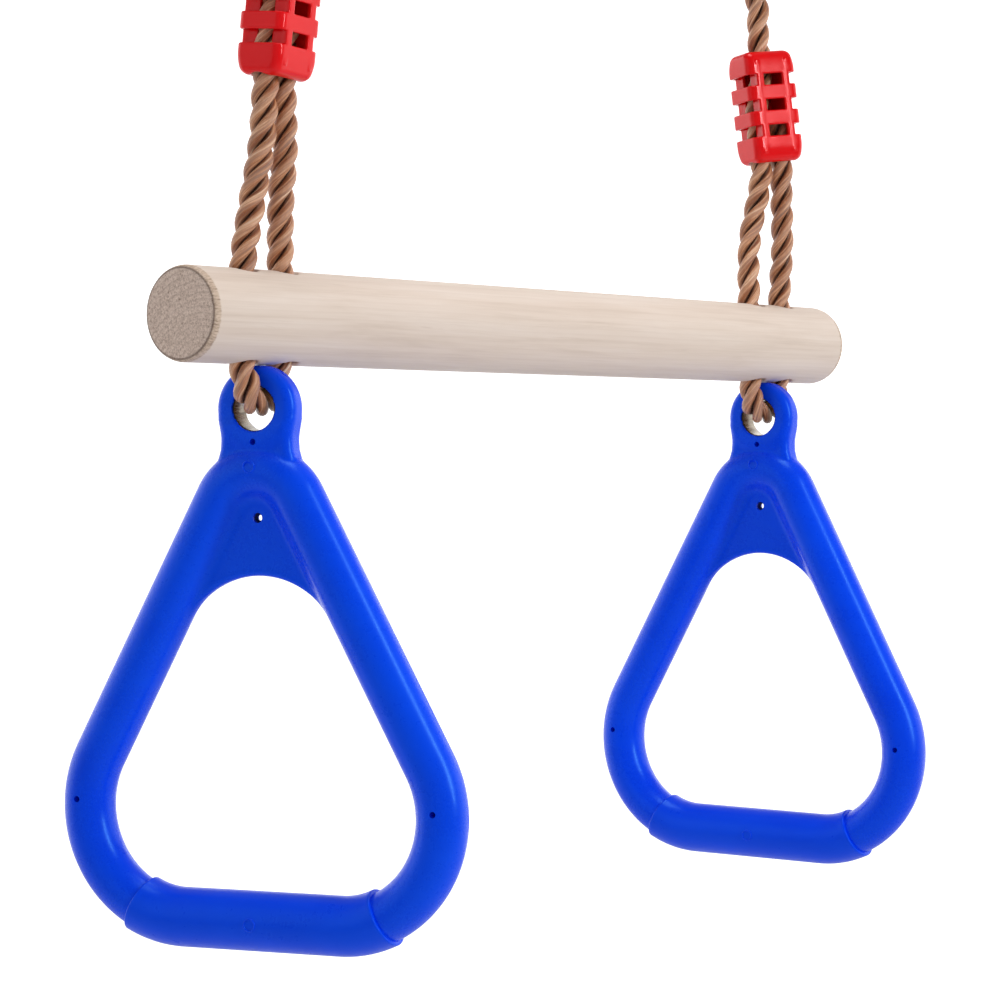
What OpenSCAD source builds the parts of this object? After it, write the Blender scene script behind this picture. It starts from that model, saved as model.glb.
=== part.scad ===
// Trapeze bar with two gym rings, hung from two adjustable ropes.
// X runs along the bar, Z is up, Y is the swing direction.
// The origin is midway between the two hook points of the steel rings.

/* [Wooden bar] */
// Length of the round bar
bar_length = 420; // [400:5:480]
// Diameter of the round bar
bar_d = 35; // [33:0.5:36]
// Rounding of the bar's end edges
bar_edge_r = 1.5; // [1:0.5:5]
// Distance from the middle of the bar to each rope pair
rope_pair_x = 170; // [165:1:180]
// Distance between the two holes of one pair
hole_gap = 22.4; // [22:0.1:23]
// Diameter of the four rope holes
hole_d = 12.6; // [12.4:0.1:13.4]

/* [Hanging height] */
// From the hook points down to the middle of the bar
drop = 258; // [256:1:262]
// Distance from the middle of the bar to each steel ring
hanger_x = 166.5; // [166:0.5:167]
// Wire thickness of the steel rings
wire_d = 6; // [5:0.5:6]

/* [Rope] */
// Diameter of the twisted rope
rope_d = 10; // [8:0.5:10]

/* [Gym rings] */
// Diameter of the ring's tube
tube_d = 19.3; // [18:0.1:20]
// Radius of the arch under the neck, to the middle of the tube
arch_r = 17.9; // [17:0.1:19]
// Arch centre below the eye
arch_drop = 41; // [40:0.5:43]
// Radius of the lower corners, to the middle of the tube
corner_r = 40.5; // [38:0.5:42]
// Sideways distance of the corner centres
corner_x = 32.1; // [30:0.1:36]
// Corner centres below the eye
corner_drop = 148.3; // [140:0.1:155]
// Radius of the round head about the eye
head_r = 16.3; // [16:0.05:16.4]
// Thickness of the head and neck
head_t = 11; // [10:0.5:11]
// Radius of the steel-lined eye
eye_r = 8.1; // [7.6:0.1:8.4]
// Wall of the steel lining
bush_wall = 0.8; // [0.6:0.1:1]
// Thickness of the web between the arms
web_t = 5; // [4:0.5:7]
// Outer diameter of the grip sleeve
grip_d = 22.2; // [21:0.1:24]
// Turn of the left ring from square to the bar
left_turn = 14.8; // [0:0.1:16]
// Turn of the right ring from square to the bar
right_turn = 3.6; // [0:0.1:6]
// Lean of the left ring in its own plane
left_lean = 0.7; // [-1:0.1:1]
// Lean of the right ring in its own plane
right_lean = -0.2; // [-1:0.1:1]

/* [Rope adjusters] */
// Height of an adjuster
adj_h = 50; // [50:0.5:51]
// Width over the bowed straps
adj_b = 25; // [25:0.1:26]
// Width over the flat faces
adj_a = 20.5; // [20:0.1:22]
// Width of the frame inside the straps
adj_core = 16.4; // [15:0.1:17]
// Height of each window
adj_window = 5; // [4:0.1:5.2]
// Height of each strap
adj_strap = 6.5; // [6:0.1:6.6]

/* [Hidden] */
$fn = 64;

rope_r = rope_d / 2;
tube_r = tube_d / 2;

// Heights below are above the bar's axis, before the drop is taken off.
eye_z = -33.5;                 // middle of the ring's eye
ferrule_z = 163;               // foot of the ferrule
ferrule_h = 18;
throat_z = 182;                // where the rope opens into its eye
loop_z = 212;                  // middle of the rope eye's round top
loop_r = 16.4;                 // to the middle of the rope
ferrule_y = 5.3;               // each rope in the ferrule, from the middle
seat_r = 9;                    // inside of the thimble's round top
wire_z = loop_z + seat_r - 4.4;            // lowest wire centre of the steel ring
hang_r = (drop + wire_d / 2 - wire_z) / 2; // mean radius of the steel ring
hang_z = wire_z + hang_r;

// Tangent from the throat to the round top of the rope's eye
th_d = sqrt(pow(ferrule_y, 2) + pow(loop_z - throat_z, 2));
th_b = asin(loop_r / th_d);
th_a = atan2(loop_z - throat_z, -ferrule_y) - th_b;   // direction of the tangent
th_l = sqrt(th_d * th_d - loop_r * loop_r);
th_n = th_a - 90;                                      // where the round top begins

// Ring outline: tangent from the arch to the corner
dv = [corner_x, arch_drop - corner_drop];
dd = norm(dv);
side_n = atan2(dv[1], dv[0]) + acos((arch_r - corner_r) / dd);  // normal of the straight side
side_p = [arch_r * cos(side_n), -arch_drop + arch_r * sin(side_n)];
side_q = [corner_x + corner_r * cos(side_n), -corner_drop + corner_r * sin(side_n)];
side_l = norm(side_q - side_p);
bottom_y = -corner_drop - corner_r;
grip_turn = 27;                // how far the sleeve goes round each corner
joint_in = 0.5;                // straight stretches run this far into the bends

// Rope routes, from the middle of a hole pair, above the bar's axis
left_a = [[3.5, -5.3, 163], [5.2, -6.9, 150], [5.0, -6.5, 130], [-1.3, -5.6, 109],
          [-2.4, -4.1, 87], [-3.6, -3.4, 64], [-6.6, -1.5, 42], [-9.9, -0.3, 21], [-10.6, 0, 6], [-10.6, 0, 0]];
left_b = [[9.1, -4.7, 109], [8, -3.3, 87], [8.8, -3.4, 64], [9.0, -1.5, 42], [10.3, -0.3, 21], [10.6, 0, 6], [10.6, 0, 0]];
right_a = [[-3.5, 5.3, 163], [-2.6, 3.4, 150], [-2.5, 3.2, 137], [-1.6, 2.1, 124], [-4.7, 2.5, 103],
           [-3.1, 0.3, 81], [-4.9, 1.0, 66], [-7.5, 2.4, 53], [-10, 2.4, 40], [-11.4, 1.1, 21], [-11.3, 0.8, 6], [-11.3, 0.8, 0]];
right_b = [[4.5, -2.3, 103], [6.1, -4.3, 81], [7.1, -3.9, 66], [8.3, -3.6, 53], [9.9, -2.6, 40],
           [10.8, -0.8, 21], [11.1, -0.8, 6], [11.1, -0.8, 0]];
left_under = [[-10.6, 0, 0], [-10.6, 0, -6], [-10.7, -0.4, -12], [-10.9, -1.0, -18]];
right_under = [[-11.3, 0.8, 0], [-11.3, 0.8, -6], [-11.3, 0.5, -12], [-11.2, 0.2, -18]];
left_back = [[10.9, 1.0, -18], [10.7, 0.4, -12], [10.6, 0, -6], [10.6, 0, 0]];
right_back = [[11.2, -0.2, -18], [11.2, -0.5, -12], [11.1, -0.8, -6], [11.1, -0.8, 0]];
bight_x = 4.4;                 // where the bight turns down, from the eye's middle
bight_z = -24.2;
bight_r = 6.8;

// Adjusters: foot, top of the axis, turn about it
left_foot = [2.8, -3.7, 87.5];
left_top = [5.4, -7.0, 137.5];
left_yaw = 5;
right_foot = [1.5, -2.0, 81.5];
right_top = [-2.2, 2.8, 131.5];
right_yaw = -28;

function unit(v) = v / norm(v);
function tangent(p, i) = unit(p[min(i + 1, len(p) - 1)] - p[max(i - 1, 0)]);
function across(t, ref) = unit(ref - (ref * t) * t);

// The rope's eye: from the short end, up, over the steel ring and down again
function eye_route(x, s) = concat(
    [[x, s * ferrule_y, 161], [x, s * ferrule_y, throat_z]],
    [for (i = [0 : 7]) let (a = th_n + i * (180 - 2 * th_n) / 7)
        [x, s * loop_r * cos(a), loop_z + loop_r * sin(a)]],
    [[x, -s * ferrule_y, throat_z]]);

// The bight: out of one hole, through the ring's eye, up into the other hole
function bight_route(down, up, turn) = concat(
    down,
    [for (i = [0 : 3]) let (a = 180 + i * 30, m = -bight_x + bight_r * cos(a))
        [m * cos(turn), m * sin(turn), bight_z + bight_r * sin(a)]],
    [for (i = [0 : 3]) let (a = 270 + i * 30, m = bight_x + bight_r * cos(a))
        [m * cos(turn), m * sin(turn), bight_z + bight_r * sin(a)]],
    up);

// A round tube along a route
module tube_along(p, r, ref, sides = 12) {
    n = len(p);
    pts = [for (i = [0 : n - 1]) let (t = tangent(p, i), a = across(t, ref), b = cross(t, a))
        for (k = [0 : sides - 1]) p[i] + r * (cos(360 * k / sides) * a + sin(360 * k / sides) * b)];
    faces = concat(
        [[for (k = [0 : sides - 1]) k]],
        [for (i = [0 : n - 2]) for (k = [0 : sides - 1]) let (j = (k + 1) % sides)
            [i * sides + k, (i + 1) * sides + k, (i + 1) * sides + j, i * sides + j]],
        [[for (k = [0 : sides - 1]) (n - 1) * sides + sides - 1 - k]]);
    polyhedron(points = pts, faces = faces, convexity = 6);
}

module at_pair(s) { translate([s * rope_pair_x, 0, -drop]) children(); }
module at_hanger(s) { translate([s * hanger_x, 0, -drop]) children(); }
// The ring's own plane: x across, y up, z towards its front
module at_ring(s, turn, lean) {
    translate([s * rope_pair_x, 0, eye_z - drop])
        rotate([0, 0, -90 + turn]) rotate([90, 0, 0]) rotate([0, 0, lean]) children();
}

// Round bar with rounded ends and two pairs of rope holes
module wood_bar() {
    color([0.86, 0.79, 0.71]) difference() {
        translate([0, 0, -drop]) rotate([0, 90, 0]) rotate_extrude() bar_half();
        for (s = [-1, 1]) for (t = [-1, 1])
            translate([s * rope_pair_x + t * hole_gap / 2, 0, -drop])
                cylinder(d = hole_d, h = bar_d + 10, center = true);
    }
}
module bar_half() {
    r = bar_d / 2;
    e = bar_edge_r;
    h = bar_length / 2;
    translate([0, -h]) square([r - e, bar_length]);
    translate([0, -h + e]) square([r, bar_length - 2 * e]);
    for (t = [-1, 1]) intersection() {
        translate([r - e, t * (h - e)]) circle(r = e);
        translate([0, -h]) square([r, bar_length]);
    }
}

// Welded steel ring that goes on the hook
module hanger_ring(s) {
    color([0.72, 0.73, 0.75]) at_hanger(s) translate([0, 0, hang_z])
        rotate([90, 0, 0]) rotate_extrude() translate([hang_r, 0]) circle(d = wire_d);
}

// Grooved liner inside the rope's eye; profile from the eye's middle outwards
module groove(e = 0) {
    difference() {
        translate([seat_r + e, -6.3 + e]) square([5.2 - 2 * e, 12.6 - 2 * e]);
        translate([loop_r, 0]) circle(r = rope_r + 0.2 + e);
    }
}
module thimble(s) {
    color([0.12, 0.12, 0.13]) at_hanger(s) translate([0, 0, loop_z])
        rotate([0, 0, 90]) rotate([90, 0, 0]) {
            rotate([0, 0, th_n]) rotate_extrude(angle = 180 - 2 * th_n) groove();
            for (m = [0, 1]) mirror([m, 0, 0]) rotate([0, 0, th_n]) translate([0, joint_in, 0])
                rotate([90, 0, 0]) linear_extrude(th_l * 0.62 + joint_in) groove(0.03);
        }
}

// Oval sleeve pressed round the two ropes
module ferrule(s) {
    color([0.75, 0.76, 0.78]) at_hanger(s) translate([0, 0, ferrule_z]) difference() {
        linear_extrude(ferrule_h) oval(rope_r + 2);
        translate([0, 0, -1]) linear_extrude(ferrule_h + 2) oval(rope_r + 0.2);
    }
}
module oval(r) {
    for (t = [-1, 1]) translate([0, t * ferrule_y]) circle(r = r);
    translate([-r, -ferrule_y]) square([2 * r, 2 * ferrule_y]);
}

// Rope from its short end over the steel ring, down through the adjuster and into the bar
module rope_standing(s) {
    route = s < 0 ? concat(eye_route(hanger_local(s), 1), left_a)
                  : concat(eye_route(hanger_local(s), -1), right_a);
    color([0.62, 0.45, 0.34]) at_pair(s) tube_along(route, rope_r, [1, 0, 0]);
}
function hanger_local(s) = s * (hanger_x - rope_pair_x);
// Rope that comes back up out of the bar and ends inside the adjuster
module rope_tail(s) {
    color([0.62, 0.45, 0.34]) at_pair(s) tube_along(s < 0 ? left_b : right_b, rope_r, [1, 0, 0]);
}
// Rope under the bar, through the ring's eye
module rope_bight(s, turn) {
    down = s < 0 ? left_under : right_under;
    up = s < 0 ? left_back : right_back;
    color([0.62, 0.45, 0.34]) at_pair(s)
        tube_along(bight_route(down, up, turn), rope_r, [-sin(turn), cos(turn), 0]);
}

// Cage that the rope is drawn through to set its length
module adjuster_at(foot, top, yaw) {
    d = top - foot;
    translate(foot) rotate([-atan2(d[1], d[2]), 0, 0]) rotate([0, atan2(d[0], norm([d[1], d[2]])), 0])
        rotate([0, 0, yaw]) children();
}
module rounded(b, a, r) {
    for (x = [-1, 1]) for (y = [-1, 1]) translate([x * (b / 2 - r), y * (a / 2 - r)]) circle(r = r);
    square([b - 2 * r, a], center = true);
    square([b, a - 2 * r], center = true);
}
module adjuster_body() {
    cap = (adj_h - 3 * adj_window - 2 * adj_strap) / 2;
    difference() {
        union() {
            translate([0, 0, 7]) linear_extrude(adj_h - 14) rounded(adj_b, adj_a, 3.5);
            for (e = [0, 1]) translate([0, 0, e * adj_h]) mirror([0, 0, e]) hull() {
                translate([0, 0, 6.9]) linear_extrude(0.1) rounded(adj_b, adj_a, 3.5, $fn = 32);
                translate([0, 0, 2.2]) linear_extrude(0.1) rounded(adj_b - 1.2, adj_a - 1.4, 3.5, $fn = 32);
                translate([0, 0, 0.7]) linear_extrude(0.1) rounded(adj_b - 2, adj_a - 3, 3.5, $fn = 32);
                linear_extrude(0.1) rounded(adj_b - 2.6, adj_a - 5, 3.5, $fn = 32);
            }
        }
        translate([0, 0, 2]) linear_extrude(adj_h - 4) rounded(adj_b - 3.6, adj_a - 4, 2);
        for (w = [0 : 2]) translate([0, 0, cap + 0.5 + w * (adj_window + adj_strap)]) {
            for (x = [-1, 1]) translate([x * (adj_core / 2 + 10), 0, adj_window / 2])
                cube([20, adj_a + 2, adj_window], center = true);
            translate([0, 0, adj_window / 2]) cube([9.5, adj_a + 2, adj_window], center = true);
        }
        translate([0, 0, adj_h - 5]) cylinder(r = rope_r + 0.6, h = 10);
        translate([0, 0, -5]) linear_extrude(10) {
            for (x = [-1, 1]) translate([x * 5.2, 0]) circle(r = rope_r + 0.4);
            square([10.4, 2 * rope_r + 0.8], center = true);
        }
    }
}
module adjuster(s) {
    color([0.84, 0.07, 0.1]) at_pair(s) {
        if (s < 0) adjuster_at(left_foot, left_top, left_yaw) adjuster_body();
        else adjuster_at(right_foot, right_top, right_yaw) adjuster_body();
    }
}

// One piece moulding: eye, neck, arch, two arms, corners, bottom and web
module ring_solid() {
    difference() {
        union() {
            translate([0, -arch_drop]) rotate([0, 0, side_n])
                rotate_extrude(angle = 180 - 2 * side_n) translate([arch_r, 0]) circle(r = tube_r);
            for (m = [0, 1]) mirror([m, 0, 0]) {
                translate([side_p[0], side_p[1], 0]) rotate([0, 0, side_n]) translate([0, joint_in, 0])
                    rotate([90, 0, 0]) cylinder(r = tube_r - 0.02, h = side_l + 2 * joint_in);
                translate([corner_x, -corner_drop]) rotate([0, 0, -90])
                    rotate_extrude(angle = 90 + side_n) translate([corner_r, 0]) circle(r = tube_r);
            }
            translate([0, bottom_y, 0]) rotate([0, 90, 0])
                cylinder(r = tube_r - 0.02, h = 2 * (corner_x + joint_in), center = true);
            translate([0, -0.9, 0]) rotate_extrude() head_half();
            translate([0, 0, -head_t / 2]) linear_extrude(head_t)
                polygon([[-15.1, -5], [-15.1, -10.2], [-15.4, -15.3], [-16.8, -18.8], [-14, -30],
                         [14, -30], [16.8, -18.8], [15.4, -15.3], [15.1, -10.2], [15.1, -5]]);
            translate([0, 0, -web_t / 2]) linear_extrude(web_t) difference() {
                polygon([[0, -30], [side_p[0], side_p[1]], web_end(-86), [0, -86],
                         [-web_end(-86)[0], -86], [-side_p[0], side_p[1]]]);
                translate([0, -96.4]) circle(r = 34.9);
            }
        }
        cylinder(r = eye_r + bush_wall + 0.05, h = 40, center = true);
        translate([0, -40.1, 0]) cylinder(d = 3.8, h = 40, center = true);
        for (f = [-1, 1]) {
            translate([0, -12.2, f * (head_t / 2)]) cylinder(d = 2.4, h = 8, center = true);
            for (x = [-1, 1]) translate([x * 72.9, -145.6, f * tube_r]) cylinder(d = 2.4, h = 10, center = true);
        }
    }
}
// Point on the middle of the arm at a height
function web_end(y) = [side_p[0] + (side_p[1] - y) * (side_q[0] - side_p[0]) / (side_p[1] - side_q[1]), y];
module head_half() {
    t = head_t / 2;
    e = 4;
    translate([0, -t]) square([head_r - e, head_t]);
    translate([0, -t + e]) square([head_r, head_t - 2 * e]);
    for (k = [-1, 1]) translate([head_r - e, k * (t - e)]) circle(r = e);
}
module ring_body(s, turn, lean) { color([0.03, 0.2, 0.87]) at_ring(s, turn, lean) ring_solid(); }

// Thicker sleeve over the bottom of the ring
module sleeve_section() {
    difference() {
        circle(d = grip_d);
        circle(r = tube_r + 0.05);
    }
}
module grip_sleeve(s, turn, lean) {
    color([0.03, 0.24, 0.9]) at_ring(s, turn, lean) {
        for (m = [0, 1]) mirror([m, 0, 0]) translate([corner_x, -corner_drop]) rotate([0, 0, -90])
            rotate_extrude(angle = grip_turn) translate([corner_r, 0]) sleeve_section();
        translate([-corner_x, bottom_y, 0]) rotate([0, 90, 0]) linear_extrude(2 * corner_x) sleeve_section();
    }
}

// Steel lining of the eye
module eye_bush(s, turn, lean) {
    color([0.6, 0.58, 0.52]) at_ring(s, turn, lean) difference() {
        cylinder(r = eye_r + bush_wall, h = head_t - 0.2, center = true);
        cylinder(r = eye_r, h = head_t + 2, center = true);
    }
}

wood_bar();
hanger_ring(-1);  // hanger_ring_left
hanger_ring(1);  // hanger_ring_right
thimble(-1);  // thimble_left
thimble(1);  // thimble_right
ferrule(-1);  // ferrule_left
ferrule(1);  // ferrule_right
rope_standing(-1);  // rope_standing_left
rope_standing(1);  // rope_standing_right
rope_tail(-1);  // rope_tail_left
rope_tail(1);  // rope_tail_right
rope_bight(-1, left_turn);  // rope_bight_left
rope_bight(1, right_turn);  // rope_bight_right
adjuster(-1);  // adjuster_left
adjuster(1);  // adjuster_right
ring_body(-1, left_turn, left_lean);  // ring_body_left
ring_body(1, right_turn, right_lean);  // ring_body_right
grip_sleeve(-1, left_turn, left_lean);  // grip_sleeve_left
grip_sleeve(1, right_turn, right_lean);  // grip_sleeve_right
eye_bush(-1, left_turn, left_lean);  // eye_bush_left
eye_bush(1, right_turn, right_lean);  // eye_bush_right
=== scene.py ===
import math

import bpy
import numpy as np
from mathutils import Matrix, Vector


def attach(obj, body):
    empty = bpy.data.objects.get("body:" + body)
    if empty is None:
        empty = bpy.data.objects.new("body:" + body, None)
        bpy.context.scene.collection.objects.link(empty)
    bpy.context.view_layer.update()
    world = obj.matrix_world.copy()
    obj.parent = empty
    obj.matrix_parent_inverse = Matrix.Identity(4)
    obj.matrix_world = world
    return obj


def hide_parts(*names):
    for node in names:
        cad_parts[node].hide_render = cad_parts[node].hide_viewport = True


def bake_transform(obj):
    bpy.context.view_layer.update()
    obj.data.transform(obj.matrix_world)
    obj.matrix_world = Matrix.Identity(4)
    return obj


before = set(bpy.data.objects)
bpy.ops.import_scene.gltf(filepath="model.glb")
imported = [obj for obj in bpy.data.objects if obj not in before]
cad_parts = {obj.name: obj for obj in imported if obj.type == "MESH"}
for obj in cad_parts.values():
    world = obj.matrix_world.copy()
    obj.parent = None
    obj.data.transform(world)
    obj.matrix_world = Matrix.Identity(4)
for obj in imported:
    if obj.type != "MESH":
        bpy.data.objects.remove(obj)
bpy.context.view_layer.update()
scene = bpy.context.scene

# Lengths are millimetres in the row frame until a mesh is made.
MM = 0.001
DROP = 258.0
PAIR = 170.0
HANGER = 166.5
SIDES = (("left", -1), ("right", 1))
TURN = {"left": 14.8, "right": 3.6}
LEAN = {"left": 0.7, "right": -0.2}
EYE_Z = -33.5


# ---------------------------------------------------------------- camera
def make_camera():
    yaw, pitch, roll = 0.9136, -0.0199, 0.0073
    fw = np.array([math.sin(yaw) * math.cos(pitch), math.cos(yaw) * math.cos(pitch), math.sin(pitch)])
    right = np.array([math.cos(yaw), -math.sin(yaw), 0.0])
    up = np.cross(right, fw)
    r2 = right * math.cos(roll) + up * math.sin(roll)
    u2 = -right * math.sin(roll) + up * math.cos(roll)
    data = bpy.data.cameras.new("camera")
    data.sensor_width = 36.0
    data.lens = 112.83
    data.clip_end = 60.0
    cam = bpy.data.objects.new("camera", data)
    scene.collection.objects.link(cam)
    m = Matrix.Identity(4)
    for k, v in enumerate((r2, u2, -fw)):
        for i in range(3):
            m[i][k] = float(v[i])
    for i, v in enumerate((-1.02803, -0.77374, -0.30152)):
        m[i][3] = v
    cam.matrix_world = m
    scene.camera = cam
    return fw, right


FORWARD, RIGHT = make_camera()


# ---------------------------------------------------------------- meshes
def add_mesh(name, verts_mm, faces, smooth=True, uv=None):
    me = bpy.data.meshes.new(name)
    v = np.asarray(verts_mm, float) * MM
    f = np.asarray(faces, np.int32)
    me.vertices.add(len(v))
    me.vertices.foreach_set("co", v.astype(np.float32).ravel())
    me.loops.add(f.size)
    me.loops.foreach_set("vertex_index", f.ravel())
    me.polygons.add(len(f))
    k = f.shape[1]
    me.polygons.foreach_set("loop_start", np.arange(0, f.size, k, dtype=np.int32))
    me.polygons.foreach_set("loop_total", np.full(len(f), k, np.int32))
    me.polygons.foreach_set("use_smooth", np.full(len(f), smooth))
    if uv is not None:
        layer = me.uv_layers.new(name="fibre")
        layer.data.foreach_set("uv", np.asarray(uv, np.float32)[f.ravel()].ravel() if len(uv) == len(v) else np.asarray(uv, np.float32).ravel())
    me.update(calc_edges=True)
    me.validate()
    ob = bpy.data.objects.new(name, me)
    scene.collection.objects.link(ob)
    return ob


def place(v, matrix):
    """Points in mm through a 4x4 in mm."""
    m = np.array(matrix, float)
    return v @ m[:3, :3].T + m[:3, 3]


def rot(axis, deg):
    return Matrix.Rotation(math.radians(deg), 4, axis)


def shift(x, y, z):
    return Matrix.Translation((x, y, z))


def ring_matrix(side, s):
    return shift(s * PAIR, 0, EYE_Z - DROP) @ rot("Z", -90 + TURN[side]) @ rot("X", 90) @ rot("Z", LEAN[side])


# ---------------------------------------------------------------- surfaces from distance fields
def length2(a, b):
    return np.sqrt(a * a + b * b)


def smin(a, b, k):
    h = np.maximum(k - np.abs(a - b), 0) / k
    return np.minimum(a, b) - h * h * k * 0.25


def smax(a, b, k):
    return -smin(-a, -b, k)


def slab(d2, z, half, e):
    """A flat outline d2 made into a plate of half thickness half, with rounded edges e."""
    u, w = d2 + e, np.abs(z) - half + e
    return length2(np.maximum(u, 0), np.maximum(w, 0)) + np.minimum(np.maximum(u, w), 0) - e


def box2(x, y, hx, hy, r):
    u, w = np.abs(x) - hx + r, np.abs(y) - hy + r
    return length2(np.maximum(u, 0), np.maximum(w, 0)) + np.minimum(np.maximum(u, w), 0) - r


def poly2(x, y, pts):
    pts = np.array(pts, float)
    d = np.full(len(x), 1e9)
    s = np.ones(len(x))
    for i in range(len(pts)):
        a, b = pts[i], pts[i - 1]
        ex, ey = b - a
        wx, wy = x - a[0], y - a[1]
        t = np.clip((wx * ex + wy * ey) / (ex * ex + ey * ey), 0, 1)
        d = np.minimum(d, (wx - t * ex) ** 2 + (wy - t * ey) ** 2)
        c1, c2, c3 = y >= a[1], y < b[1], ex * wy > ey * wx
        s = np.where((c1 & c2 & c3) | (~c1 & ~c2 & ~c3), -s, s)
    return s * np.sqrt(d)


def nets(f, lo, hi, step, relax=2):
    """Quads on the surface where f is 0, drawn onto it exactly."""
    lo, hi = np.array(lo, float), np.array(hi, float)
    n = np.ceil((hi - lo) / step).astype(int) + 1
    ax = [lo[i] + step * np.arange(n[i]) for i in range(3)]
    g = np.empty(tuple(n), np.float32)
    yy, zz = np.meshgrid(ax[1], ax[2], indexing="ij")
    yz = np.stack([yy.ravel(), zz.ravel()], 1)
    chunk = max(1, int(300000 / len(yz)))
    for i in range(0, n[0], chunk):
        xs = ax[0][i:i + chunk]
        p = np.empty((len(xs), len(yz), 3))
        p[:, :, 0] = xs[:, None]
        p[:, :, 1:] = yz[None]
        g[i:i + len(xs)] = f(p.reshape(-1, 3)).reshape(len(xs), n[1], n[2])
    ins = g < 0
    shape = n - 1
    ids, pos, quads = [], [], []
    for a in range(3):
        s0, s1 = [slice(None)] * 3, [slice(None)] * 3
        s0[a], s1[a] = slice(0, -1), slice(1, None)
        s0, s1 = tuple(s0), tuple(s1)
        c = ins[s0] != ins[s1]
        e = np.argwhere(c)
        g0, g1 = g[s0][c], g[s1][c]
        p = e.astype(float)
        p[:, a] += g0 / (g0 - g1)
        b, d = (a + 1) % 3, (a + 2) % 3
        off = []
        for ob, od in ((0, 0), (-1, 0), (-1, -1), (0, -1)):
            q = e.copy()
            q[:, b] += ob
            q[:, d] += od
            off.append((q[:, 0] * shape[1] + q[:, 1]) * shape[2] + q[:, 2])
        ids += off
        pos += [p] * 4
        quad = np.stack(off, 1)
        flip = ~ins[s0][c]
        quad[flip] = quad[flip][:, ::-1]
        quads.append(quad)
    ids, pos = np.concatenate(ids), np.concatenate(pos)
    u, inv = np.unique(ids, return_inverse=True)
    inv = inv.ravel()
    cnt = np.bincount(inv)
    v = np.stack([np.bincount(inv, pos[:, k]) / cnt for k in range(3)], 1) * step + lo
    q = np.searchsorted(u, np.concatenate(quads))
    e = np.sort(np.concatenate([q[:, [0, 1]], q[:, [1, 2]], q[:, [2, 3]], q[:, [3, 0]]]), 1)
    e = np.unique(e, axis=0)
    deg = np.bincount(e.ravel(), minlength=len(v)).astype(float)
    for r in range(relax + 1):
        if r:
            acc = np.zeros_like(v)
            for k in range(3):
                acc[:, k] = np.bincount(e[:, 0], v[e[:, 1], k], len(v)) + np.bincount(e[:, 1], v[e[:, 0], k], len(v))
            v = v + 0.5 * (acc / deg[:, None] - v)
        for _ in range(2):
            h = 0.02
            d = f(v)
            gr = np.stack([(f(v + h * np.eye(3)[k]) - f(v - h * np.eye(3)[k])) / (2 * h) for k in range(3)], 1)
            g2 = np.maximum((gr ** 2).sum(1), 0.3)
            v = v - gr * np.clip(d / g2, -0.6 * step, 0.6 * step)[:, None]
    return v, q


# ---------------------------------------------------------------- material helpers
class Nodes:
    def __init__(self, name):
        self.mat = bpy.data.materials.new(name)
        self.mat.use_nodes = True
        self.t = self.mat.node_tree
        self.bsdf = self.t.nodes["Principled BSDF"]
        self.tc = self.t.nodes.new("ShaderNodeTexCoord")

    def new(self, kind, **values):
        n = self.t.nodes.new("ShaderNode" + kind)
        for k, v in values.items():
            setattr(n, k, v)
        return n

    def link(self, a, b):
        self.t.links.new(a, b)
        return b

    def value(self, sockets):
        for k, v in sockets.items():
            self.bsdf.inputs[k].default_value = v

    def scaled(self, x, y, z, source=None, turn=(0, 0, 0)):
        m = self.new("Mapping")
        m.inputs["Scale"].default_value = (x, y, z)
        m.inputs["Rotation"].default_value = turn
        self.link(source or self.tc.outputs["Object"], m.inputs["Vector"])
        return m.outputs["Vector"]

    def noise(self, vector, scale=1.0, detail=3.0, rough=0.5, distort=0.0):
        n = self.new("TexNoise")
        n.inputs["Scale"].default_value = scale
        n.inputs["Detail"].default_value = detail
        n.inputs["Roughness"].default_value = rough
        n.inputs["Distortion"].default_value = distort
        self.link(vector, n.inputs["Vector"])
        return n.outputs["Fac"]

    def math(self, op, a, b=None, clamp=False):
        n = self.new("Math", operation=op, use_clamp=clamp)
        for i, v in enumerate((a, b)):
            if v is None:
                continue
            if isinstance(v, (int, float)):
                n.inputs[i].default_value = v
            else:
                self.link(v, n.inputs[i])
        return n.outputs[0]

    def span(self, fac, lo, hi, to_lo=0.0, to_hi=1.0, smooth=False):
        n = self.new("MapRange")
        if smooth:
            n.interpolation_type = "SMOOTHSTEP"
        for k, v in (("From Min", lo), ("From Max", hi), ("To Min", to_lo), ("To Max", to_hi)):
            n.inputs[k].default_value = v
        self.link(fac, n.inputs["Value"])
        return n.outputs["Result"]

    def ramp(self, fac, stops):
        n = self.new("ValToRGB")
        r = n.color_ramp
        while len(r.elements) > 1:
            r.elements.remove(r.elements[-1])
        r.elements[0].position = stops[0][0]
        r.elements[0].color = (*stops[0][1], 1)
        for p, c in stops[1:]:
            r.elements.new(p).color = (*c, 1)
        self.link(fac, n.inputs["Fac"])
        return n.outputs["Color"]

    def mix(self, fac, a, b, mode="MIX"):
        n = self.new("Mix", data_type="RGBA", blend_type=mode)
        for sock, v in ((n.inputs[0], fac), (n.inputs[6], a), (n.inputs[7], b)):
            if isinstance(v, (int, float)):
                sock.default_value = v
            elif isinstance(v, tuple):
                sock.default_value = (*v, 1)
            else:
                self.link(v, sock)
        return n.outputs[2]

    def bump(self, height, strength, distance, normal=None):
        n = self.new("Bump")
        n.inputs["Strength"].default_value = strength
        n.inputs["Distance"].default_value = distance
        self.link(height, n.inputs["Height"])
        if normal is not None:
            self.link(normal, n.inputs["Normal"])
        return n.outputs["Normal"]

    def out(self, color=None, rough=None, normal=None):
        if color is not None:
            self.link(color, self.bsdf.inputs["Base Color"])
        if rough is not None:
            self.link(rough, self.bsdf.inputs["Roughness"])
        if normal is not None:
            self.link(normal, self.bsdf.inputs["Normal"])
        return self.mat


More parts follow.
